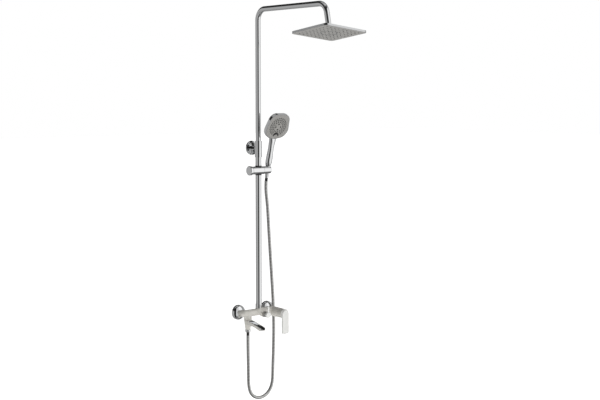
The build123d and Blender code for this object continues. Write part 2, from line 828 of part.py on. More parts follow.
# Ball seat, and the two halves of the swivel that close round it on top of the rain head, which hangs tipped
# forwards and to one side on the ball
pitch = radians(head_pitch)
roll = radians(head_roll)
head_up = Vector(sin(roll) * cos(pitch), sin(pitch), cos(roll) * cos(pitch))
head_right = Vector(cos(roll), 0, -sin(roll))
head = Plane(origin=ball_centre - head_up * ball_height, x_dir=head_right, z_dir=head_up)
seat_inner = ball_radius + ball_gap
seat_outer = seat_inner + seat_wall
with BuildPart() as ball_seat:
    with Locations(head.offset(ball_height)):
        Sphere(seat_outer)
        Sphere(seat_inner, mode=Mode.SUBTRACT)
    ring(head, 0, seat_outer, ball_height - seat_outer, ball_height - seat_half_height, mode=Mode.SUBTRACT)
    ring(head, 0, seat_outer, ball_height + seat_half_height, ball_height + seat_outer, mode=Mode.SUBTRACT)
ball_seat.part.label = "ball_seat"
export_step(ball_seat.part, "parts/ball_seat.step")

swivel_bottom = head_depth + head_boss
with BuildPart() as swivel_base:
    ring(head, head_inlet_radius, swivel_radius, swivel_bottom, ball_height)
    with Locations(head.offset(ball_height)):
        Sphere(seat_outer + ball_gap, mode=Mode.SUBTRACT)
swivel_base.part.label = "swivel_base"
export_step(swivel_base.part, "parts/swivel_base.step")

with BuildPart() as swivel_nut:
    turn(
        head,
        (swivel_mouth_radius, ball_height),
        (swivel_radius, ball_height),
        (swivel_radius, swivel_top - swivel_edge),
        (swivel_radius - swivel_edge, swivel_top),
        (swivel_mouth_radius, swivel_top),
    )
    with Locations(head.offset(ball_height)):
        Sphere(seat_outer + ball_gap, mode=Mode.SUBTRACT)
swivel_nut.part.label = "swivel_nut"
export_step(swivel_nut.part, "parts/swivel_nut.step")

# Rain head: a shallow square shell, a gasket and nozzle mat inside it, and the face plate with its ring
face_size = head_size - 2 * (head_sheet + face_gap)
face_corner = head_corner - head_sheet - face_gap
gasket_inner = face_size - 2 * gasket_width
mat_size = gasket_inner - 2 * seat_gap
mat_corner = face_corner - gasket_width - seat_gap
shell_floor = head_depth - head_sheet
with BuildPart() as head_shell:
    with BuildSketch(head):
        RectangleRounded(head_size, head_size, head_corner)
    extrude(amount=head_depth)
    with BuildSketch(head):
        RectangleRounded(head_size - 2 * head_sheet, head_size - 2 * head_sheet, head_corner - head_sheet)
    extrude(amount=shell_floor, mode=Mode.SUBTRACT)
    ring(head, 0, head_boss_radius, head_depth, swivel_bottom)
    ring(head, 0, head_inlet_radius, 0, swivel_bottom, mode=Mode.SUBTRACT)
head_shell.part.label = "head_shell"
export_step(head_shell.part, "parts/head_shell.step")

with BuildPart() as head_gasket:
    with BuildSketch(head.offset(face_thickness)):
        RectangleRounded(face_size, face_size, face_corner)
        RectangleRounded(gasket_inner, gasket_inner, face_corner - gasket_width, mode=Mode.SUBTRACT)
    extrude(amount=shell_floor - face_thickness)
head_gasket.part.label = "head_gasket"
export_step(head_gasket.part, "parts/head_gasket.step")

with BuildPart() as head_face:
    with BuildSketch(head):
        RectangleRounded(face_size, face_size, face_corner)
        with GridLocations(nozzle_pitch, nozzle_pitch, nozzle_count, nozzle_count):
            Circle(nozzle_radius + fit_gap, mode=Mode.SUBTRACT)
    extrude(amount=face_thickness)
head_face.part.label = "head_face"
export_step(head_face.part, "parts/head_face.step")

with BuildPart() as head_nozzles:
    with BuildSketch(head.offset(face_thickness)):
        RectangleRounded(mat_size, mat_size, mat_corner)
    extrude(amount=mat_thickness)
    with BuildSketch(head):
        with GridLocations(nozzle_pitch, nozzle_pitch, nozzle_count, nozzle_count):
            Circle(nozzle_radius)
    extrude(amount=face_thickness)
    with Locations(head.offset(-nozzle_proud / 2)):
        with GridLocations(nozzle_pitch, nozzle_pitch, nozzle_count, nozzle_count):
            Cone(nozzle_tip_radius, nozzle_radius, nozzle_proud)
head_nozzles.part.label = "head_nozzles"
export_step(head_nozzles.part, "parts/head_nozzles.step")

with BuildPart() as head_ring:
    ring(head, centre_ring_inner, centre_ring_inner + centre_ring_width, -centre_ring_proud, 0)
head_ring.part.label = "head_ring"
export_step(head_ring.part, "parts/head_ring.step")

# Sliding holder on the lower tube: the body with its bush and pad, the clamp knob, and the pin for the socket
slider_bush_inner = lower_radius + run_gap
slider_bush_outer = slider_bush_inner + slider_bush_wall
pad_front = slider_bush_outer + fit_gap
pad_back = pad_front + clamp_pad_length
holder_low = holder_height - slider_bush_height / 2
holder_high = holder_height + slider_bush_height / 2
with BuildPart() as slider_body:
    ring(holder, 0, holder_radius, -holder_left, holder_right)
    ring(riser, 0, slider_bush_outer + fit_gap, holder_low, holder_high, mode=Mode.SUBTRACT)
    ring(holder, 0, clamp_pad_radius + fit_gap, -holder_left, -slider_bush_outer, mode=Mode.SUBTRACT)
    ring(holder, 0, pivot_pin_radius + fit_gap, slider_bush_outer, holder_right, mode=Mode.SUBTRACT)
slider_body.part.label = "slider_body"
export_step(slider_body.part, "parts/slider_body.step")

with BuildPart() as slider_bush:
    ring(riser, slider_bush_inner, slider_bush_outer, holder_low, holder_high)
slider_bush.part.label = "slider_bush"
export_step(slider_bush.part, "parts/slider_bush.step")

with BuildPart() as clamp_pad:
    ring(holder, 0, clamp_pad_radius, -pad_back, -pad_front)
clamp_pad.part.label = "clamp_pad"
export_step(clamp_pad.part, "parts/clamp_pad.step")

knob_right = -holder_left - seat_gap
knob_left = knob_right - clamp_knob_length
with BuildPart() as clamp_knob:
    turn(
        holder,
        (0, knob_left),
        (clamp_knob_radius - clamp_knob_edge, knob_left),
        (clamp_knob_radius, knob_left + clamp_knob_edge),
        (clamp_knob_radius, knob_right - 2 * clamp_knob_waist),
        (clamp_knob_radius - clamp_knob_waist, knob_right),
        (clamp_stud_radius, knob_right),
        (clamp_stud_radius, -pad_back - fit_gap),
        (0, -pad_back - fit_gap),
    )
clamp_knob.part.label = "clamp_knob"
export_step(clamp_knob.part, "parts/clamp_knob.step")

with BuildPart() as pivot_pin:
    ring(holder, 0, pivot_pin_radius, pivot_pin_start, pivot_pin_end)
pivot_pin.part.label = "pivot_pin"
export_step(pivot_pin.part, "parts/pivot_pin.step")

washer_right = holder_right + washer_thickness
with BuildPart() as friction_washer:
    ring(holder, pivot_pin_radius + fit_gap, holder_radius - washer_thickness, holder_right, washer_right)
friction_washer.part.label = "friction_washer"
export_step(friction_washer.part, "parts/friction_washer.step")

# Tilting socket with a tapered seat for the hose's cone nut
handset_tilt = radians(handset_lean)
handle_up = Vector(0, -sin(handset_tilt), cos(handset_tilt))
handle = Plane(origin=(socket_x, axis_y, holder_height), x_dir=(1, 0, 0), z_dir=handle_up)
cone_slope = (cone_nut_top_radius - cone_nut_bottom_radius) / (cone_nut_top - cone_nut_bottom)
seat_reach = 2 * holder_radius


def seat_radius(height):
    """Radius of the socket's tapered seat at a height along the handle."""
    return cone_nut_top_radius + cone_slope * (height - cone_nut_top) + seat_gap


socket_left = washer_right + run_gap
with BuildPart() as handset_socket:
    turn(
        holder,
        (0, socket_left),
        (socket_root_radius, socket_left),
        (socket_end_radius, socket_right - socket_edge),
        (socket_end_radius - socket_edge, socket_right),
        (0, socket_right),
    )
    turn(
        handle,
        (0, -seat_reach),
        (seat_radius(-seat_reach), -seat_reach),
        (seat_radius(seat_reach), seat_reach),
        (0, seat_reach),
        mode=Mode.SUBTRACT,
    )
    ring(holder, 0, pivot_pin_radius + run_gap, socket_left, pivot_pin_end + seat_gap, mode=Mode.SUBTRACT)
handset_socket.part.label = "handset_socket"
export_step(handset_socket.part, "parts/handset_socket.step")

# Hose cone nut and washer at the foot of the hand shower
with BuildPart() as hose_cone_nut:
    turn(
        handle,
        (hose_bore, cone_nut_bottom),
        (cone_nut_bottom_radius, cone_nut_bottom),
        (cone_nut_top_radius, cone_nut_top),
        (hose_bore, cone_nut_top),
    )
hose_cone_nut.part.label = "hose_cone_nut"
export_step(hose_cone_nut.part, "parts/hose_cone_nut.step")

with BuildPart() as hose_seal:
    ring(handle, hose_bore, cone_nut_top_radius - 2 * fit_gap, cone_nut_top, handle_foot)
hose_seal.part.label = "hose_seal"
export_step(hose_seal.part, "parts/hose_seal.step")

# Hand shower: a hollow shell of handle and head, with the spray face let into it
dip = radians(face_dip)
face_normal = Vector(0, -cos(dip), -sin(dip))
face_origin = (socket_x, axis_y - face_forward, holder_height + face_rise)
face = Plane(origin=face_origin, x_dir=(1, 0, 0), z_dir=face_normal)


def face_outline(inset):
    """Rounded outline of the spray face, drawn in by the inset, as a sketch on the face's plane."""
    with BuildSketch(face) as outline:
        with Locations((-face_top_spread, face_top_height), (face_top_spread, face_top_height)):
            Circle(face_top_round - inset)
        with Locations((-face_side_spread, face_side_height), (face_side_spread, face_side_height)):
            Circle(face_side_round - inset)
        with Locations((0, face_neck_height)):
            Circle(face_neck_round - inset)
        make_hull()
    return outline.sketch


def button_outline(clearance):
    """Crescent of the mode button on the face's plane, grown by the clearance."""
    with BuildSketch(face) as crescent:
        with Locations((0, button_height)):
            Circle(button_radius + clearance)
        with Locations((0, button_height + button_bite)):
            Circle(button_radius - clearance, mode=Mode.SUBTRACT)
    return crescent.sketch


duct_depth = handset_plate + (handset_cavity - handset_plate) / 2
duct_start = handle.from_local_coords((0, 0, duct_foot))
duct_line = face.from_local_coords((0, duct_head, -duct_depth)) - duct_start
duct_plane = Plane(origin=duct_start, x_dir=(1, 0, 0), z_dir=duct_line)
with BuildPart() as handset_shell:
    extrude(face_outline(0), amount=-handset_depth)
    fillet(handset_shell.faces().sort_by(Axis(face.origin, face.z_dir))[0].edges(), handset_back_round)
    for height, half_width, half_depth, forward in handle_sections:
        with BuildSketch(handle.offset(height)):
            with Locations((0, -forward)):
                Ellipse(half_width, half_depth)
    loft()
    ring(handle, 0, handle_foot_radius, handle_foot, handle_sections[0][0])
    extrude(face_outline(handset_rim), amount=-handset_plate - fit_gap, mode=Mode.SUBTRACT)
    extrude(face_outline(handset_rim + handset_ledge), amount=-handset_cavity, mode=Mode.SUBTRACT)
    ring(handle, 0, handle_bore, handle_foot, handle_bore_end, mode=Mode.SUBTRACT)
    ring(duct_plane, 0, duct_bore, 0, duct_line.length, mode=Mode.SUBTRACT)
handset_shell.part.label = "handset_shell"
export_step(handset_shell.part, "parts/handset_shell.step")


def spray_points():
    """Places of the nozzles on the spray face, in rings that leave room for the mode button."""
    for radius, count in handset_nozzle_rings:
        for step in range(count):
            angle = 2 * pi * step / count
            point = (radius * cos(angle), radius * sin(angle))
            to_button = (point[0] ** 2 + (point[1] - button_height) ** 2) ** 0.5
            if to_button > button_keepout:
                yield point


with BuildPart() as handset_face:
    extrude(face_outline(handset_rim + fit_gap), amount=-handset_plate)
    ring(face, 0, centre_disc_radius + fit_gap, -handset_plate, 0, mode=Mode.SUBTRACT)
    extrude(button_outline(seat_gap), amount=-handset_plate, mode=Mode.SUBTRACT)
    with BuildSketch(face):
        with Locations(*spray_points()):
            Circle(handset_nozzle_radius + fit_gap)
    extrude(amount=-handset_plate, mode=Mode.SUBTRACT)
handset_face.part.label = "handset_face"
export_step(handset_face.part, "parts/handset_face.step")

mat_inset = handset_rim + handset_ledge + seat_gap
with BuildPart() as handset_nozzles:
    extrude(face_outline(mat_inset), amount=-handset_plate - handset_mat)
    extrude(face_outline(0), amount=-handset_plate, mode=Mode.SUBTRACT)
    with BuildSketch(face):
        with Locations((0, button_height)):
            Circle(button_keepout)
        Circle(centre_disc_radius + fit_gap)
    extrude(amount=-handset_cavity, mode=Mode.SUBTRACT)
    with BuildSketch(face.offset(-handset_plate)):
        with Locations(*spray_points()):
            Circle(handset_nozzle_radius)
    extrude(amount=handset_plate)
    with Locations(face.offset(handset_nozzle_proud / 2)):
        with Locations(*spray_points()):
            Cone(handset_nozzle_radius, handset_nozzle_tip, handset_nozzle_proud)
handset_nozzles.part.label = "handset_nozzles"
export_step(handset_nozzles.part, "parts/handset_nozzles.step")

with BuildPart() as centre_spray:
    ring(face, 0, centre_disc_radius, -handset_plate - handset_mat, centre_disc_proud)
    with BuildSketch(face.offset(centre_disc_proud)):
        with PolarLocations(centre_slot_radius, centre_slot_count):
            SlotOverall(centre_slot_length, centre_slot_width, rotation=90)
    extrude(amount=-handset_plate, mode=Mode.SUBTRACT)
centre_spray.part.label = "centre_spray"
export_step(centre_spray.part, "parts/centre_spray.step")

with BuildPart() as mode_button:
    extrude(button_outline(0), amount=button_proud)
    extrude(button_outline(0), amount=-handset_plate)
mode_button.part.label = "mode_button"
export_step(mode_button.part, "parts/mode_button.step")

# Metal hose
hose_start = Vector(spout_x, axis_y, lower_nut_bottom)
hose_end = handle.from_local_coords((0, 0, cone_nut_bottom))
hose_exit = handle.from_local_coords((0, 0, cone_nut_bottom - hose_straight_end))
hose_route = [
    hose_start,
    Vector(spout_x, axis_y, -150),
    Vector(-55.5, -48, -240),
    Vector(-53.5, -46.5, -328.7),
    Vector(-26.8, -43, -365.5),
    Vector(16.5, -38.5, -379.6),
    Vector(59.8, -34, -365.5),
    Vector(86.5, -30.5, -328.7),
    Vector(90.8, -28, -245),
    Vector(94.5, -27.4, -170),
    Vector(97.2, -27, -80),
    Vector(94, -27.3, 22),
    Vector(85.5, -28.6, 130),
    Vector(76, -30.3, 238),
    Vector(67, -32, 345),
    Vector(59.5, -33.3, 450),
    hose_exit,
    hose_end,
]
hose_radii = []
for before, corner, after in zip(hose_route, hose_route[1:], hose_route[2:]):
    half_turn = radians((corner - before).get_angle(after - corner)) / 2
    shorter = min((corner - before).length, (after - corner).length)
    hose_radii.append(hose_arc_share * shorter / tan(half_turn))
print("hose bend radii:", [round(radius) for radius in hose_radii])
with BuildLine() as hose_path:
    FilletPolyline(*hose_route, radius=hose_radii)
hose_line = hose_path.wires()[0]
hose_length = hose_line.length
rib_pitch = (hose_length - 2 * hose_plain_end) / hose_ribs


def hose_section(distance, radius):
    """Circle across the hose at a distance along it, turned the same way all along."""
    tangent = hose_line.tangent_at(distance, position_mode=PositionMode.LENGTH)
    middle = hose_line.position_at(distance, position_mode=PositionMode.LENGTH)
    with BuildSketch(Plane(origin=middle, x_dir=(0, 1, 0), z_dir=tangent)) as section:
        Circle(radius)
    return section.sketch.faces()[0]


rib_shape = (
    (0, hose_root_radius),
    (rib_rise, hose_radius),
    (rib_crest, hose_radius),
    (rib_fall, hose_root_radius),
)
hose_sections = [hose_section(0, hose_root_radius)]
for rib in range(hose_ribs):
    for share, radius in rib_shape:
        hose_sections.append(hose_section(hose_plain_end + (rib + share) * rib_pitch, radius))
hose_sections.append(hose_section(hose_length, hose_root_radius))
with BuildPart() as hose:
    loft(hose_sections, ruled=True)
    with BuildSketch(Plane(origin=hose_start, z_dir=hose_line % 0)):
        Circle(hose_bore)
    sweep(path=hose_line, mode=Mode.SUBTRACT)
hose.part.label = "hose"
export_step(hose.part, "parts/hose.step")
plain_volume = pi * (hose_radius**2 - hose_bore**2) * hose_length
print("hose length", round(hose_length), "volume share", round(hose.part.volume / plain_volume, 3))
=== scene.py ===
"""Looks of the rainfall shower column: plated riser, rain head and hand shower on a satin bath mixer."""

import math

import bpy
import numpy as np
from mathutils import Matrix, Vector


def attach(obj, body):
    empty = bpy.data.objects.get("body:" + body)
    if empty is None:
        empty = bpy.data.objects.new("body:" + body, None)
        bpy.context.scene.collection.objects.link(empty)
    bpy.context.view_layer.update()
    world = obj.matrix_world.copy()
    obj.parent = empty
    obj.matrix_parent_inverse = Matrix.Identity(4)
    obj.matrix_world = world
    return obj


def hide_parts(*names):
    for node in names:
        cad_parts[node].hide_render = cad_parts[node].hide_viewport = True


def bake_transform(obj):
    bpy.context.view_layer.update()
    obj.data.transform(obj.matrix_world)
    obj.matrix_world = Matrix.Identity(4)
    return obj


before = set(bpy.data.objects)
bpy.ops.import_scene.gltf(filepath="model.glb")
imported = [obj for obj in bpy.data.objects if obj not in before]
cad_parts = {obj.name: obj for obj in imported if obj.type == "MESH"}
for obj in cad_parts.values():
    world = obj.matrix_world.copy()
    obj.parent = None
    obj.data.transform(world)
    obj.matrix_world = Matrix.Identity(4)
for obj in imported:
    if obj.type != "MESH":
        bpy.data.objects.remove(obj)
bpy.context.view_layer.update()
scene = bpy.context.scene

# Camera
# A long lens to the left of the column and a little above the hand shower looks slightly down at it.
camera_place = Vector((-2.840, -3.838, 0.919))
camera_turn = math.radians(-38.965)
camera_dip = math.radians(5.35)
camera_data = bpy.data.cameras.new("camera")
camera_data.sensor_width = 36.0
camera_data.lens = 67.8
camera = bpy.data.objects.new("camera", camera_data)
scene.collection.objects.link(camera)
camera.location = camera_place
camera.rotation_euler = (math.pi / 2 - camera_dip, 0.0, camera_turn)
scene.camera = camera

# Studio
# White paper all round for the lens, with grey flats, a black gap and a large white softbox for the plating to
# mirror. The floor is pale and as far below the mixer as a bathroom floor is.
scene.view_settings.view_transform = "Standard"
studio_turn = math.radians(39.0)
to_camera = Vector((-math.sin(studio_turn), -math.cos(studio_turn), 0.0))
to_right = Vector((math.cos(studio_turn), -math.sin(studio_turn), 0.0))
world = bpy.data.worlds.new("studio")
scene.world = world
world.use_nodes = True
sky = world.node_tree
sky.nodes.clear()


def add(tree, kind, **settings):
    """New node with its settings: an input's name sets its value, or links it where the value is a socket."""
    node = tree.nodes.new(kind)
    for name, value in settings.items():
        if name in node.bl_rna.properties:
            setattr(node, name, value)
            continue
        socket = node.inputs[int(name[1:])] if name[0] == "_" else node.inputs[name.replace("_", " ")]
        if isinstance(value, bpy.types.NodeSocket):
            tree.links.new(value, socket)
        else:
            socket.default_value = value
    return node


def ramp(tree, source, *stops, smooth=False):
    """Colour ramp over a value from 0 to 1, with its stops given as (place, grey)."""
    node = add(tree, "ShaderNodeValToRGB", Fac=source)
    band = node.color_ramp
    band.interpolation = "EASE" if smooth else "LINEAR"
    while len(band.elements) < len(stops):
        band.elements.new(1.0)
    for element, (place, tone) in zip(band.elements, stops):
        element.position = place
        element.color = (tone, tone, tone, 1.0)
    return node.outputs["Color"]


way = add(sky, "ShaderNodeTexCoord").outputs["Generated"]
ahead = add(sky, "ShaderNodeVectorMath", operation="DOT_PRODUCT", _0=way, _1=to_camera).outputs["Value"]
aside = add(sky, "ShaderNodeVectorMath", operation="DOT_PRODUCT", _0=way, _1=to_right).outputs["Value"]
angle = add(sky, "ShaderNodeMath", operation="ARCTAN2", _0=aside, _1=ahead).outputs[0]
turn = add(sky, "ShaderNodeMapRange", Value=angle, From_Min=-math.pi, From_Max=math.pi).outputs[0]
height = add(sky, "ShaderNodeSeparateXYZ", Vector=way).outputs["Z"]
lift = add(sky, "ShaderNodeMapRange", Value=height, From_Min=-1.0, From_Max=1.0).outputs[0]
left_flats = ((0.0, 0.3), (0.12, 0.34), (0.2, 0.42), (0.3, 0.33), (0.4, 0.44), (0.445, 0.5))
black_gap = ((0.462, 0.01), (0.565, 0.01))
right_flats = ((0.585, 0.7), (0.63, 0.62))
white_softbox = ((0.68, 1.0), (0.74, 1.0))
far_flats = ((0.77, 0.62), (0.86, 0.55), (0.94, 0.42), (1.0, 0.35))
flats = ramp(sky, turn, *left_flats, *black_gap, *right_flats, *white_softbox, *far_flats)
left_ceiling = ramp(
    sky, lift, (0.0, 0.8), (0.4, 1.0), (0.6, 1.0), (0.655, 0.1), (0.85, 0.04), (0.95, 0.8), (1.0, 1.2), smooth=True
)
right_ceiling = ramp(
    sky, lift, (0.0, 0.35), (0.15, 0.25), (0.24, 1.0), (0.84, 1.0), (0.9, 0.08), (0.94, 0.1), (1.0, 1.2), smooth=True
)
half = ramp(sky, turn, (0.48, 0.0), (0.54, 1.0))
ceiling = add(sky, "ShaderNodeMix", data_type="RGBA", Factor=half, _6=left_ceiling, _7=right_ceiling)
seen = add(
    sky, "ShaderNodeMix", data_type="RGBA", blend_type="MULTIPLY", Factor=1.0, _6=flats, _7=ceiling.outputs[2]
)
paper_white = (1.0, 1.0, 1.0, 1.0)
paper = add(sky, "ShaderNodeBackground", Color=paper_white, Strength=1.0)
reflected = add(sky, "ShaderNodeBackground", Color=seen.outputs[2], Strength=1.0)
rays = add(sky, "ShaderNodeLightPath")
by_eye = rays.outputs["Is Camera Ray"]
both = add(sky, "ShaderNodeMixShader", Fac=by_eye, _1=reflected.outputs[0], _2=paper.outputs[0])
add(sky, "ShaderNodeOutputWorld", Surface=both.outputs[0])


def softbox(name, place, aim, size, power):
    """Square lamp with a soft edge that lights the matt surfaces and isn't mirrored in the plating."""
    lamp = bpy.data.lights.new(name, "AREA")
    lamp.size = size
    lamp.energy = power
    lamp_object = bpy.data.objects.new(name, lamp)
    scene.collection.objects.link(lamp_object)
    lamp_object.location = place
    lamp_object.rotation_euler = (Vector(aim) - Vector(place)).to_track_quat("-Z", "Y").to_euler()
    lamp_object.visible_glossy = False


softbox("key_softbox", place=(-2.2, -3.0, 2.6), aim=(0.0, -0.1, 0.4), size=1.8, power=52.0)
softbox("fill_softbox", place=(2.6, -2.4, 1.2), aim=(0.0, -0.1, 0.3), size=2.2, power=26.0)
softbox("back_softbox", place=(0.6, 3.0, 1.8), aim=(0.0, -0.1, 0.5), size=2.0, power=20.0)

floor_height = -0.95
floor_reach = 40.0
floor_tone = (0.9, 0.9, 0.9, 1.0)
floor_roughness = 0.9
floor_glow = 0.95
floor_mesh = bpy.data.meshes.new("floor")
floor_signs = ((-1, -1), (1, -1), (1, 1), (-1, 1))
floor_corners = [(x * floor_reach, y * floor_reach, floor_height) for x, y in floor_signs]
floor_mesh.from_pydata(floor_corners, [], [(0, 1, 2, 3)])
floor = bpy.data.objects.new("floor", floor_mesh)
scene.collection.objects.link(floor)
floor.visible_glossy = False
floor_paint = bpy.data.materials.new("floor_paint")
floor_paint.use_nodes = True
floor_shader = floor_paint.node_tree.nodes["Principled BSDF"]
floor_shader.inputs["Base Color"].default_value = floor_tone
floor_shader.inputs["Roughness"].default_value = floor_roughness
floor_shader.inputs["Emission Color"].default_value = paper_white
floor_shader.inputs["Emission Strength"].default_value = floor_glow
floor_mesh.materials.append(floor_paint)

# Inlet unions, their seals and nuts
# Turned brass unions screw into the wall outlets with a pipe thread, a rubber washer seals each against the
# mixer's neck, and a hexagon nut draws the two together. All but the threads hides under the escutcheons.
inlet_spacing = 0.150
thread_pitch = 0.00181
thread_steps = 8
thread_radius = 0.0104
thread_depth = 0.0011
thread_length = 0.016
thread_runout = 0.002
union_radius = 0.0132
union_length = 0.009
union_bore = 0.007
union_edge = 0.0003
union_sides = 48


def effect(name, inputs, outputs):
    """Empty node group with its value inputs and its outputs, ready for its nodes."""
    group = bpy.data.node_groups.new(name, "ShaderNodeTree")
    for label, value in inputs:
        group.interface.new_socket(label, in_out="INPUT", socket_type="NodeSocketFloat").default_value = value
    for label in outputs:
        group.interface.new_socket(label, in_out="OUTPUT", socket_type="NodeSocketFloat")
    return group, group.nodes.new("NodeGroupInput").outputs, group.nodes.new("NodeGroupOutput").inputs


wander, given, result = effect("uneven_film", (("Scale", 60.0), ("Low", 0.0), ("High", 1.0)), ("Value",))
place = add(wander, "ShaderNodeTexCoord").outputs["Object"]
cloudy = add(wander, "ShaderNodeTexNoise", Vector=place, Scale=given["Scale"], Detail=3.0, Roughness=0.6)
span = add(wander, "ShaderNodeMapRange", Value=cloudy.outputs[0], From_Min=0.3, From_Max=0.7)
wander.links.new(given["Low"], span.inputs["To Min"])
wander.links.new(given["High"], span.inputs["To Max"])
wander.links.new(span.outputs[0], result["Value"])


def use_effect(tree, group, **values):
    """The shared effect placed in a material with that material's own values."""
    node = tree.nodes.new("ShaderNodeGroup")
    node.node_tree = group
    for label, value in values.items():
        node.inputs[label].default_value = value
    return node.outputs["Value"]


def finish(name, film, **sockets):
    """New material with one Principled shader: film gives its roughness' scale, low and high, sockets the rest."""
    material = bpy.data.materials.new(name)
    material.use_nodes = True
    tree = material.node_tree
    shader = tree.nodes["Principled BSDF"]
    for label, value in sockets.items():
        shader.inputs[label.replace("_", " ")].default_value = (*value, 1.0) if isinstance(value, tuple) else value
    scale, low, high = film
    tree.links.new(use_effect(tree, wander, Scale=scale, Low=low, High=high), shader.inputs["Roughness"])
    return material, tree, shader


def raise_grain(tree, shader, scale, depth, strength):
    """Bump from the uneven film, with its depth in metres."""
    grain = use_effect(tree, wander, Scale=scale)
    bump = add(tree, "ShaderNodeBump", Strength=strength, Distance=depth, Height=grain)
    tree.links.new(bump.outputs["Normal"], shader.inputs["Normal"])


def dress(material, *names):
    """Give CAD nodes their finish."""
    for name in names:
        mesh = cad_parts[name].data
        mesh.materials.clear()
        mesh.materials.append(material)


def sleeve(name, skin, lining, material):
    """Closed tube from rows of points outside and inside, with flat ends, as an object."""
    rows, sides = skin.shape[:2]
    under = rows * sides
    points = np.concatenate([skin.reshape(-1, 3), lining.reshape(-1, 3)])
    faces = []
    for row in range(rows - 1):
        for step in range(sides):
            here, beside = row * sides + step, row * sides + (step + 1) % sides
            faces.append((here, beside, beside + sides, here + sides))
            faces.append((under + here, under + here + sides, under + beside + sides, under + beside))
    for row, flip in ((0, False), (rows - 1, True)):
        for step in range(sides):
            here, beside = row * sides + step, row * sides + (step + 1) % sides
            rim = (here, under + here, under + beside, beside)
            faces.append(rim[::-1] if flip else rim)
    mesh = bpy.data.meshes.new(name)
    mesh.from_pydata(points.tolist(), [], faces)
    mesh.shade_smooth()
    mesh.materials.append(material)
    piece = bpy.data.objects.new(name, mesh)
    scene.collection.objects.link(piece)
    return piece


brass = finish("machined_brass", (150.0, 0.2, 0.35), Base_Color=(0.68, 0.53, 0.27), Metallic=1.0)[0]
rubber = finish("grey_silicone", (400.0, 0.5, 0.7), Base_Color=(0.12, 0.12, 0.12))[0]
thread_rows = np.arange(-thread_length, 0.0, thread_pitch / thread_steps)
collar_rows = np.array([0.0, 0.0, union_edge, union_length - union_edge, union_length])
union_chamfer = union_radius - union_edge
collar_radii = np.array([thread_radius - thread_depth, union_chamfer, union_radius, union_radius, union_chamfer])
spin = np.linspace(0.0, 2.0 * math.pi, union_sides, endpoint=False)
crest = 2.0 * np.abs((thread_rows[:, None] / thread_pitch + spin[None, :] / (2.0 * math.pi)) % 1.0 - 0.5)
fade = np.clip(np.minimum(thread_rows + thread_length, -thread_rows) / thread_runout, 0.0, 1.0)
union_out = np.concatenate([thread_rows, collar_rows])
union_reach = np.concatenate([
    thread_radius - thread_depth + thread_depth * crest * fade[:, None],
    np.repeat(collar_radii[:, None], union_sides, axis=1),
])
for side, across in (("left", -inlet_spacing / 2), ("right", inlet_spacing / 2)):
    walls = []
    for reach in (union_reach, np.full_like(union_reach, union_bore)):
        wall = np.empty((*reach.shape, 3))
        wall[:, :, 0] = across + reach * np.cos(spin)
        wall[:, :, 1] = -union_out[:, None]
        wall[:, :, 2] = reach * np.sin(spin)
        walls.append(wall)
    union = sleeve(f"{side}_union", *walls, brass)
    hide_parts("s_unions")
    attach(union, "wall_mixer")
dress(rubber, "inlet_seals")
dress(brass, "union_nuts")

# Escutcheons
# Domed cover plates spun from brass sheet and chromium plated, slipped over the necks against the tiles. The
# plating mirrors the room, dulled a little by dried water and cloth marks.
chrome, tree, shader = finish("chrome_plate", (45.0, 0.03, 0.065), Base_Color=(0.86, 0.865, 0.87), Metallic=1.0)
raise_grain(tree, shader, 30.0, 0.0003, 0.02)
dress(chrome, "left_escutcheon", "right_escutcheon")

# Mixer body
# One brass casting: two necks, the bar between them, the housing for the cartridge and the bosses for riser,
# diverter and spout run into each other with soft corners, under a pale warm grey satin enamel.
body_grain = 0.0012
body_rounds = 14
weld_reach = 0.00001
satin_shade = (0.52, 0.505, 0.465)
satin_tint = (0.58, 0.565, 0.525)


def two_tone(tree, shader, mask, low, high):
    """Base colour that a mask takes from one colour to another."""
    blend = add(tree, "ShaderNodeMix", data_type="RGBA", Factor=mask, _6=(*low, 1.0), _7=(*high, 1.0))
    tree.links.new(blend.outputs[2], shader.inputs["Base Color"])


satin, tree, shader = finish("satin_enamel", (80.0, 0.3, 0.42), Coat_Weight=0.25, Coat_Roughness=0.35)
two_tone(tree, shader, use_effect(tree, wander, Scale=25.0), satin_shade, satin_tint)
raise_grain(tree, shader, 900.0, 0.0002, 0.12)


def soften(name, grain, rounds):
    """Run a casting's sharp corners into each other: weld its faces, mesh it evenly and smooth it."""
    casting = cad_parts[name]
    casting.modifiers.new("weld", "WELD").merge_threshold = weld_reach
    even = casting.modifiers.new("even", "REMESH")
    even.mode = "VOXEL"
    even.voxel_size = grain
    even.use_smooth_shade = True
    smooth = casting.modifiers.new("smooth", "SMOOTH")
    smooth.factor = 0.5
    smooth.iterations = rounds


soften("mixer_body", body_grain, body_rounds)
dress(satin, "mixer_body")

# Cartridge, cover and lever
# A ceramic cartridge under a brass nut turns with a black acetal turret, and a satin cover with a domed end closes
# the housing. The zinc lever is white on its blade; its cap, which rides over the dome on a brass stem, is painted a
# darker satin grey as painted shade.
lever_blade_back = -0.130
lever_mask_edge = 0.0006
blade_tone = (0.64, 0.64, 0.62)
cap_painted_shade_tone = (0.50, 0.488, 0.45)
black = finish("black_acetal", (300.0, 0.35, 0.5), Base_Color=(0.03, 0.03, 0.032))[0]
white, tree, shader = finish("lever_enamel", (70.0, 0.26, 0.38), Coat_Weight=0.4, Coat_Roughness=0.2)
place = add(tree, "ShaderNodeTexCoord").outputs["Object"]
depth = add(tree, "ShaderNodeSeparateXYZ", Vector=place).outputs["Y"]
# Painted shade: the lever's cap behind the blade is painted a darker grey for the shade it sits in.
on_cap = add(
    tree, "ShaderNodeMapRange", Value=depth, From_Min=lever_blade_back, From_Max=lever_blade_back + lever_mask_edge
)
two_tone(tree, shader, on_cap.outputs[0], blade_tone, cap_painted_shade_tone)
raise_grain(tree, shader, 700.0, 0.0002, 0.1)
dress(black, "cartridge_body", "cartridge_turret")
dress(brass, "cartridge_nut", "lever_pivot", "lever_stem", "lever_grub_screw")
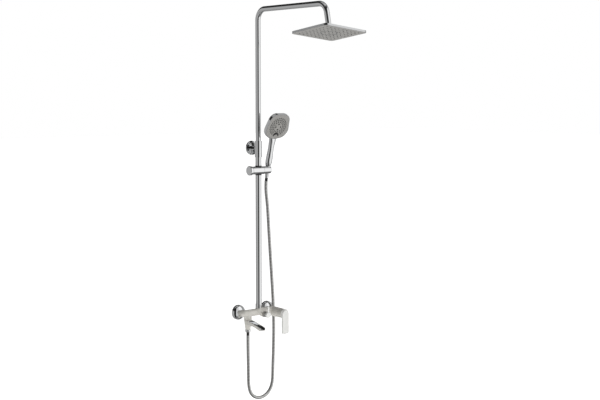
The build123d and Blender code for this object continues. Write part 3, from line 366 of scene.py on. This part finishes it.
dress(satin, "cartridge_cover")
dress(white, "lever")

# Diverter
# A dull plated bush is screwed into its boss, and a brass spindle through it carries the white enamelled zinc
# knob and its pointer.
dull = finish("dull_plate", (90.0, 0.38, 0.5), Base_Color=(0.5, 0.495, 0.48), Metallic=1.0)[0]
knob_white = finish(
    "knob_enamel", (70.0, 0.26, 0.38), Base_Color=(0.74, 0.74, 0.72), Coat_Weight=0.4, Coat_Roughness=0.2
)[0]
dress(dull, "diverter_bush")
dress(brass, "diverter_spindle")
dress(knob_white, "diverter_knob")

# Spout
# A swivelling cast block in the body's enamel narrows to the hose outlet and carries an open trough, lined with
# a bright plated tray. A rubber ring seals its spigot and a plated nut holds the hose.
spout_grain = 0.0009
spout_rounds = 4
soften("spout", spout_grain, spout_rounds)
dress(satin, "spout")
dress(chrome, "spout_tray", "hose_lower_nut")
dress(rubber, "spout_ring")

# Riser foot and lower tube
# Drawn brass tube, polished and plated, flared at its foot and drawn down on a rubber washer by a plated nut.
dress(chrome, "lower_tube", "base_nut")
dress(rubber, "base_seal")

# Wall bracket
# A brass base is screwed to the wall under a stepped plated flange. The plated arm reaches out to a collar that
# guides the telescope in a black bush, locked by a small brass screw.
dress(chrome, "bracket_flange", "bracket_arm", "bracket_collar")
dress(brass, "bracket_base", "collar_screw")
dress(black, "collar_bush")

# Telescope
# The upper tube slides in the lower one on a brass piston with two rubber rings, and takes the arm on a brass
# nipple at its top.
dress(chrome, "upper_tube")
dress(brass, "telescope_piston", "arm_nipple")
dress(rubber, "piston_rings", "nipple_rings")

# Bent arm
# The same drawn tube, bent twice and plated, ends in a plated ball stud that the rain head swivels on.
dress(chrome, "bent_arm", "ball_stud")
dress(black, "ball_seat")

# Rain head
# A shallow pressed shell, plated a little darker than the arm, holds a gasket and a rubber mat with its nozzles
# against the moulded grey face plate and its ring. The two halves of the swivel close round the ball seat.
grey, tree, shader = finish("moulded_grey", (200.0, 0.42, 0.55), Base_Color=(0.255, 0.25, 0.238))
raise_grain(tree, shader, 2500.0, 0.0002, 0.2)
nozzle = finish("nozzle_rubber", (400.0, 0.45, 0.6), Base_Color=(0.06, 0.06, 0.058))[0]
plate = finish("head_plate", (45.0, 0.05, 0.09), Base_Color=(0.6, 0.605, 0.61), Metallic=1.0)[0]
dress(chrome, "swivel_base", "swivel_nut")
dress(plate, "head_shell", "head_ring")
dress(rubber, "head_gasket")
dress(nozzle, "head_nozzles")
dress(grey, "head_face")

# Sliding holder
# A plated body with a black bush grips the lower tube when the knob presses its pad. The tapered socket for the
# hand shower turns on a brass pin against a black friction washer.
dress(chrome, "slider_body", "clamp_knob", "handset_socket")
dress(black, "slider_bush", "clamp_pad", "friction_washer")
dress(brass, "pivot_pin")

# Hand shower
# A moulded and plated shell, handle and head in one, with a grey spray face, rubber nozzles, a slotted centre
# spray and a darker mode button let into it. The dark rings round the nozzles and the dark slot floors are painted
# shade.
face_place = Vector((0.048, -0.1225, 0.783))
face_dip = math.radians(26.5)
face_out = Vector((0.0, -math.cos(face_dip), -math.sin(face_dip)))
face_up = Vector((0.0, -math.sin(face_dip), math.cos(face_dip)))
face_rings = ((0.023, 14.0), (0.031, 20.0), (0.039, 26.0))
button_height = 0.039
button_clear = 0.0165
slot_ring = (0.0123, 4.0)
# Sizes of the dark dots of painted shade round each nozzle; the face under them is flat.
shade_dot_inner = 0.0022
shade_dot_outer = 0.0042
slot_shoulder = 0.0006
slot_floor = -0.0004
face_tone = (0.235, 0.23, 0.218)
recess_painted_shade_tone = (0.045, 0.045, 0.043)
# Painted shade round the nozzles: a dark dot at each nozzle of a ring, left off near the mode button.
nozzle_shade, given, result = effect("nozzle_painted_shade", (("Ring", 0.031), ("Count", 20.0)), ("Value",))


def sum_of(tree, operation, first, second=0.0, third=0.0):
    """Result of one Math node."""
    return add(tree, "ShaderNodeMath", operation=operation, _0=first, _1=second, _2=third).outputs[0]


def flat_length(tree, across, along):
    """Length of a flat vector."""
    pair = add(tree, "ShaderNodeCombineXYZ", X=across, Y=along).outputs[0]
    return add(tree, "ShaderNodeVectorMath", operation="LENGTH", _0=pair).outputs["Value"]


def from_face_middle(tree):
    """Place of a point from the middle of the spray face."""
    place = add(tree, "ShaderNodeTexCoord").outputs["Object"]
    return add(tree, "ShaderNodeVectorMath", operation="SUBTRACT", _0=place, _1=face_place).outputs["Vector"]


from_face = from_face_middle(nozzle_shade)
right = add(nozzle_shade, "ShaderNodeSeparateXYZ", Vector=from_face).outputs["X"]
rise = add(nozzle_shade, "ShaderNodeVectorMath", operation="DOT_PRODUCT", _0=from_face, _1=face_up).outputs["Value"]
share = sum_of(nozzle_shade, "MULTIPLY", sum_of(nozzle_shade, "ARCTAN2", rise, right), given["Count"])
wrapped = sum_of(nozzle_shade, "WRAP", share, math.pi, -math.pi)
along_ring = sum_of(nozzle_shade, "DIVIDE", sum_of(nozzle_shade, "MULTIPLY", wrapped, given["Ring"]), given["Count"])
off_ring = sum_of(nozzle_shade, "SUBTRACT", flat_length(nozzle_shade, right, rise), given["Ring"])
away = flat_length(nozzle_shade, along_ring, off_ring)
dark = add(nozzle_shade, "ShaderNodeMapRange", Value=away, From_Min=shade_dot_outer, From_Max=shade_dot_inner).outputs[0]
from_button = flat_length(nozzle_shade, right, sum_of(nozzle_shade, "ADD", rise, button_height))
dark = sum_of(nozzle_shade, "MULTIPLY", dark, sum_of(nozzle_shade, "GREATER_THAN", from_button, button_clear))
nozzle_shade.links.new(dark, result["Value"])

# The spray face's grey with the painted shade round its nozzles.
spray, tree, shader = finish("spray_face", (200.0, 0.42, 0.55))
masks = [use_effect(tree, nozzle_shade, Ring=ring, Count=count) for ring, count in face_rings]
mask = sum_of(tree, "MAXIMUM", sum_of(tree, "MAXIMUM", masks[0], masks[1]), masks[2])
two_tone(tree, shader, mask, face_tone, recess_painted_shade_tone)
dress(spray, "handset_face")

# Painted shade: the slot floors below the face, and a dot at each slot, are painted dark.
slots, tree, shader = finish("slotted_grey", (200.0, 0.42, 0.55))
from_face = from_face_middle(tree)
proud = add(tree, "ShaderNodeVectorMath", operation="DOT_PRODUCT", _0=from_face, _1=face_out).outputs["Value"]
sunk = add(tree, "ShaderNodeMapRange", Value=proud, From_Min=slot_shoulder, From_Max=slot_floor).outputs[0]
mask = sum_of(tree, "MAXIMUM", sunk, use_effect(tree, nozzle_shade, Ring=slot_ring[0], Count=slot_ring[1]))
two_tone(tree, shader, mask, face_tone, recess_painted_shade_tone)
dress(slots, "centre_spray")

dark_grey = finish("button_grey", (250.0, 0.4, 0.52), Base_Color=(0.02, 0.02, 0.02))[0]
dress(chrome, "handset_shell", "hose_cone_nut")
dress(rubber, "hose_seal")
dress(nozzle, "handset_nozzles")
dress(dark_grey, "mode_button")

# Metal hose
# A steel strip wound into an interlocking spiral over a rubber core. It hangs from the spout's outlet in a loop
# and climbs behind the mixer to the hand shower, crimped into a nut at each end.
hose_diameter = 0.014
hose_root = 0.0064
hose_bore = 0.0045
hose_pitch = 0.0062
hose_groove = 0.46
hose_sides = 24
rings_a_turn = 10
route_steps = 40
strip_tone = (0.86, 0.86, 0.84)
groove_painted_shade_tone = (0.08, 0.08, 0.078)
outlet_leg_length = 0.165
handset_leg_length = 0.087
slider_leg_height = 0.24
hose_route = [
    (-0.058, -0.049, -0.0801), (-0.058, -0.049, -0.150), (-0.0555, -0.048, -0.240), (-0.0535, -0.0465, -0.3287),
    (-0.0268, -0.043, -0.3655), (0.0165, -0.0385, -0.3796), (0.0598, -0.034, -0.3655), (0.0865, -0.0305, -0.3287),
    (0.0908, -0.028, -0.245), (0.0945, -0.0274, -0.170), (0.0972, -0.027, -0.080), (0.094, -0.0273, 0.022),
    (0.0855, -0.0286, 0.130), (0.076, -0.0303, 0.238), (0.067, -0.032, 0.345), (0.0595, -0.0333, 0.450),
    (0.048, -0.033614, 0.528617), (0.048, -0.041931, 0.567743),
]
hose_curve = bpy.data.curves.new("hose_route", "CURVE")
hose_curve.dimensions = "3D"
hose_curve.resolution_u = route_steps
hose_spline = hose_curve.splines.new("NURBS")
hose_spline.points.add(len(hose_route) - 1)
for knot, point in zip(hose_spline.points, hose_route):
    knot.co = (*point, 1.0)
hose_spline.order_u = 3
hose_spline.use_endpoint_u = True
hose_guide = bpy.data.objects.new("hose_guide", hose_curve)
scene.collection.objects.link(hose_guide)
bpy.context.view_layer.update()
guide_mesh = bpy.data.meshes.new_from_object(hose_guide)
guide = np.array([vertex.co for vertex in guide_mesh.vertices])
bpy.data.objects.remove(hose_guide)
bpy.data.meshes.remove(guide_mesh)
along = np.concatenate([[0.0], np.cumsum(np.linalg.norm(np.diff(guide, axis=0), axis=1))])
hose_length = along[-1]
ring_step = hose_pitch / rings_a_turn
ring_count = int(round(hose_length / ring_step)) + 1
ring_place = np.linspace(0.0, hose_length, ring_count)
ring_middle = np.stack([np.interp(ring_place, along, guide[:, axis]) for axis in range(3)], axis=1)
ring_ahead = np.gradient(ring_middle, axis=0)
ring_ahead /= np.linalg.norm(ring_ahead, axis=1)[:, None]
ring_side = np.zeros_like(ring_middle)
side = np.array([0.0, 1.0, 0.0])
for index, ahead_now in enumerate(ring_ahead):
    side = side - ahead_now * (side @ ahead_now)
    side = side / np.linalg.norm(side)
    ring_side[index] = side
ring_up = np.cross(ring_ahead, ring_side)
spoke = np.linspace(0.0, 2.0 * math.pi, hose_sides, endpoint=False)
phase = (ring_place[:, None] / hose_pitch + spoke[None, :] / (2.0 * math.pi)) % 1.0
dent = np.where(phase < hose_groove, 0.5 - 0.5 * np.cos(2.0 * math.pi * phase / hose_groove), 0.0)
plain_end = np.minimum(ring_place, hose_length - ring_place) < hose_diameter
dent[plain_end] = 1.0
hose_reach = hose_diameter / 2 - (hose_diameter / 2 - hose_root) * dent
spokes = np.cos(spoke)[None, :, None] * ring_side[:, None, :] + np.sin(spoke)[None, :, None] * ring_up[:, None, :]
hose_skin = ring_middle[:, None, :] + hose_reach[:, :, None] * spokes
hose_lining = ring_middle[:, None, :] + hose_bore * spokes

# Painted shade: the wound strip is painted darker down into each groove and dark in the bore, by the groove
# attribute.
steel, tree, shader = finish("wound_steel", (120.0, 0.3, 0.42), Metallic=1.0)
groove = add(tree, "ShaderNodeAttribute", attribute_name="groove")
two_tone(tree, shader, groove.outputs["Fac"], strip_tone, groove_painted_shade_tone)


def hose_piece(name, first, last):
    """Closed length of the hose between two rings: ribbed skin, smooth bore and flat ends."""
    rows = slice(first, last + 1)
    piece = sleeve(name, hose_skin[rows], hose_lining[rows], steel)
    # Groove depth that drives the painted shade, full in the bore.
    depth = np.concatenate([dent[rows].ravel(), np.ones(dent[rows].size)])
    piece.data.attributes.new("groove", "FLOAT", "POINT").data.foreach_set("value", depth.astype(np.float32))
    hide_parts("hose")
    return piece


# Where the lengths of hose meet, so that each crosses one joint
leg_ring = int(np.argmin(np.abs(ring_place - outlet_leg_length)))
loop_ring = int(np.argmin(ring_middle[:, 2]))
slider_ring = loop_ring + int(np.argmin(np.abs(ring_middle[loop_ring:, 2] - slider_leg_height)))
socket_ring = int(np.argmin(np.abs(ring_place - (hose_length - handset_leg_length))))
outlet_leg = hose_piece("hose_outlet_leg", 0, leg_ring)
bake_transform(outlet_leg)
hanging_loop = hose_piece("hose_loop", leg_ring, slider_ring)
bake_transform(hanging_loop)
holder_leg = hose_piece("hose_holder_leg", slider_ring, socket_ring)
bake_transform(holder_leg)
handset_leg = hose_piece("hose_handset_leg", socket_ring, ring_count - 1)
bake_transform(handset_leg)
